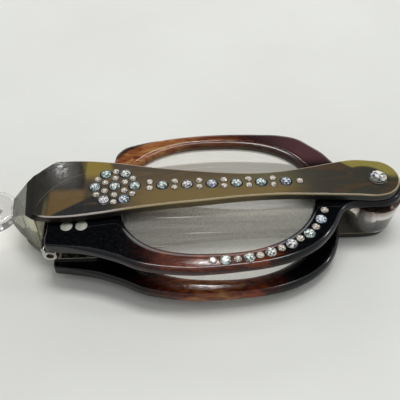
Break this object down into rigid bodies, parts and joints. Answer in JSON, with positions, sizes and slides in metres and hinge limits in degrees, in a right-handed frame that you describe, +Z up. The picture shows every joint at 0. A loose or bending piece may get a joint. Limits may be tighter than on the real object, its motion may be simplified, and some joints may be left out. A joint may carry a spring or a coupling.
{
  "type": "folding lorgnette",
  "caption": "Folding lorgnette: tortoiseshell eyeglass rims on a bridge hinge, swung shut between the two plates of a stone-set handle with a hanging ring.",
  "frame": {"origin": "pivot axis where it meets the resting plane under the bottom plate", "axes": "+X from the hanging ring to the pivot end, +Z up through the plates along the pivot, -Y towards the side on which the rims swing out"},
  "size_m": [0.0995, 0.0415, 0.0159],
  "materials": {
    "handle_plate": "polished olive-brown mottled celluloid",
    "clear_core": "polished smoky clear plastic",
    "clear_plastic": "polished clear plastic",
    "nickel": "nickel-plated brass, turned and stamped",
    "spring_wire": "drawn spring steel wire",
    "rim_shell": "polished tortoiseshell celluloid, black to amber",
    "lens": "polished optical glass",
    "crystal": "faceted, foil-backed glass"
  },
  "bodies": {
    "handle": {"handle_bottom_plate": "handle_plate", "handle_top_plate": "handle_plate", "handle_core": "clear_core", "hanging_ring": "clear_plastic", "pivot_spacer": "clear_plastic", "pivot_pin": "nickel", "pivot_washer": "nickel", "pivot_nut": "nickel", "pivot_cup": "nickel", "pivot_stone": "crystal", "handle_large_stones": "crystal", "handle_small_stones": "crystal"},
    "front_eyepiece": {"front_rim": "rim_shell", "front_lens": "lens", "pivot_bush": "nickel", "front_rim_large_stones": "crystal", "front_rim_small_stones": "crystal", "front_rivets": "nickel", "hinge_leaf_front": "nickel", "hinge_pin": "nickel", "hinge_spring": "spring_wire"},
    "rear_eyepiece": {"rear_rim": "rim_shell", "rear_lens": "lens", "rear_rim_large_stones": "crystal", "rear_rim_small_stones": "crystal", "rear_rivets": "nickel", "hinge_leaf_rear": "nickel"}
  },
  "joints": [
    {"name": "swing", "type": "hinge", "parent": "handle", "child": "front_eyepiece", "pos_m": [0, 0, 0.01127], "axis": [0, 0, 1], "range_deg": [0, 178]},
    {"name": "bridge_hinge", "type": "hinge", "parent": "front_eyepiece", "child": "rear_eyepiece", "pos_m": [-0.0726, -0.00275, 0.00721], "axis": [0, 1, 0], "range_deg": [-4.5, 0], "stiffness_Nm_per_rad": 0.004, "springref_deg": 177.62}
  ]
}
